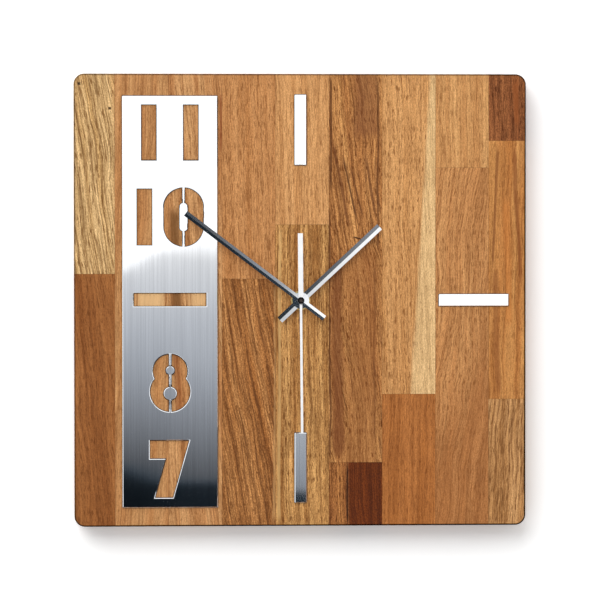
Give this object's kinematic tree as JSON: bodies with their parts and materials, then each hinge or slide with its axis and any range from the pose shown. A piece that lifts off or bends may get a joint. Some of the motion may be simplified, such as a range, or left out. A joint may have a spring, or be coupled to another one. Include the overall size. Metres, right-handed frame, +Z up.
{
  "type": "wall clock",
  "caption": "Square wall clock: a board of glued oak staves with a steel numeral plate, steel hour markers and three steel hands on a quartz movement let into its back.",
  "frame": {"origin": "centre of the hanger's screw entry hole, on the wall plane", "axes": "+Z up, the dial facing -Y, +X to the right of someone who reads the dial"},
  "size_m": [0.3, 0.0274, 0.3],
  "materials": {
    "oak_straw": "oiled, coarse open pores",
    "oak_honey": "oiled, fine straight grain",
    "oak_tan": "oiled, sloping grain",
    "oak_brown": "oiled, figured, with dark lines",
    "oak_dark": "oiled, dark heartwood",
    "plate_steel": "brushed lengthwise",
    "hand_steel": "fine satin",
    "second_metal": "bright satin",
    "arbor_steel": "turned",
    "cap_plastic": "polished",
    "nut_brass": "turned",
    "gasket_rubber": "matt",
    "hanger_zinc": "zinc plated",
    "screw_zinc": "zinc plated",
    "case_plastic": "moulded, fine texture",
    "inner_plastic": "moulded",
    "gear_plastic": "moulded",
    "knob_plastic": "moulded",
    "magnet": "sintered",
    "stator_steel": "stamped",
    "copper_wire": "lacquered copper",
    "pcb": "solder mask",
    "crystal_can": "drawn can",
    "chip_resin": "resin",
    "cell_can": "plain sleeve",
    "contact_metal": "nickel plated",
    "adhesive": "acrylic foam film"
  },
  "bodies": {
    "root": {"stave_a_lower": "oak_tan", "stave_a_upper": "oak_straw", "stave_b_whole": "oak_honey", "stave_c_whole": "oak_honey", "stave_d_lower": "oak_honey", "stave_d_upper": "oak_honey", "stave_e_lower": "oak_tan", "stave_e_upper": "oak_honey", "stave_f_lower": "oak_dark", "stave_f_upper": "oak_brown", "stave_g_lower": "oak_tan", "stave_g_upper": "oak_honey", "stave_h_lower": "oak_tan", "stave_h_upper": "oak_honey", "stave_i_lower": "oak_straw", "stave_i_middle": "oak_tan", "stave_i_upper": "oak_dark", "number_plate": "plate_steel", "marker_twelve": "plate_steel", "marker_three": "plate_steel", "marker_six": "plate_steel", "plate_adhesive": "adhesive", "marker_adhesive": "adhesive", "washer": "nut_brass", "fixing_nut": "nut_brass", "gasket": "gasket_rubber", "threaded_bushing": "nut_brass", "hanger_plate": "hanger_zinc", "hanger_screws": "screw_zinc", "movement_case": "case_plastic", "back_cover": "case_plastic", "middle_plate": "inner_plastic", "stator": "stator_steel", "coil_core": "stator_steel", "coil_bobbin": "inner_plastic", "coil_winding": "copper_wire", "circuit_board": "pcb", "quartz_crystal": "crystal_can", "chip": "chip_resin", "battery": "cell_can", "contact_positive": "contact_metal", "contact_negative": "contact_metal"},
    "second": {"second_wheel": "gear_plastic", "second_arbor": "arbor_steel", "second_hand": "second_metal", "second_tube": "arbor_steel", "hub_cap": "cap_plastic"},
    "minute": {"centre_wheel": "gear_plastic", "cannon_pinion": "gear_plastic", "minute_hand": "hand_steel"},
    "hour": {"hour_wheel": "gear_plastic", "hour_hand": "hand_steel"},
    "third": {"third_wheel": "gear_plastic"},
    "motion": {"motion_wheel": "gear_plastic"},
    "intermediate": {"intermediate_wheel": "gear_plastic"},
    "rotor": {"rotor_pinion": "gear_plastic", "rotor_magnet": "magnet"},
    "setting": {"setting_pinion": "gear_plastic", "setting_knob": "knob_plastic"}
  },
  "joints": [
    {"name": "second_turn", "type": "hinge", "parent": "root", "child": "second", "pos_m": [0, -0.015, -0.105], "axis": [0, 1, 0], "continuous": true},
    {"name": "minute_turn", "type": "hinge", "parent": "root", "child": "minute", "pos_m": [0, -0.015, -0.105], "axis": [0, 1, 0], "continuous": true},
    {"name": "hour_turn", "type": "hinge", "parent": "root", "child": "hour", "pos_m": [0, -0.015, -0.105], "axis": [0, 1, 0], "continuous": true},
    {"name": "third_wheel_turn", "type": "hinge", "parent": "root", "child": "third", "pos_m": [-0.00625, -0.015, -0.09875], "axis": [0, 1, 0], "continuous": true},
    {"name": "motion_wheel_turn", "type": "hinge", "parent": "root", "child": "motion", "pos_m": [-0.00677, -0.015, -0.10746], "axis": [0, 1, 0], "continuous": true},
    {"name": "intermediate_turn", "type": "hinge", "parent": "root", "child": "intermediate", "pos_m": [0.00753, -0.015, -0.10065], "axis": [0, 1, 0], "continuous": true},
    {"name": "rotor_turn", "type": "hinge", "parent": "root", "child": "rotor", "pos_m": [0.01411, -0.015, -0.09826], "axis": [0, 1, 0], "continuous": true},
    {"name": "knob_turn", "type": "hinge", "parent": "root", "child": "setting", "pos_m": [-0.0147, -0.015, -0.10911], "axis": [0, 1, 0], "continuous": true}
  ],
  "couplings": [
    {"joint": "second_turn", "follows": "minute_turn", "ratio": 60},
    {"joint": "hour_turn", "follows": "minute_turn", "ratio": 0.083333},
    {"joint": "third_wheel_turn", "follows": "minute_turn", "ratio": -8},
    {"joint": "motion_wheel_turn", "follows": "minute_turn", "ratio": -0.33333},
    {"joint": "intermediate_turn", "follows": "minute_turn", "ratio": -300},
    {"joint": "rotor_turn", "follows": "minute_turn", "ratio": 1800},
    {"joint": "knob_turn", "follows": "minute_turn", "ratio": 0.66667}
  ]
}
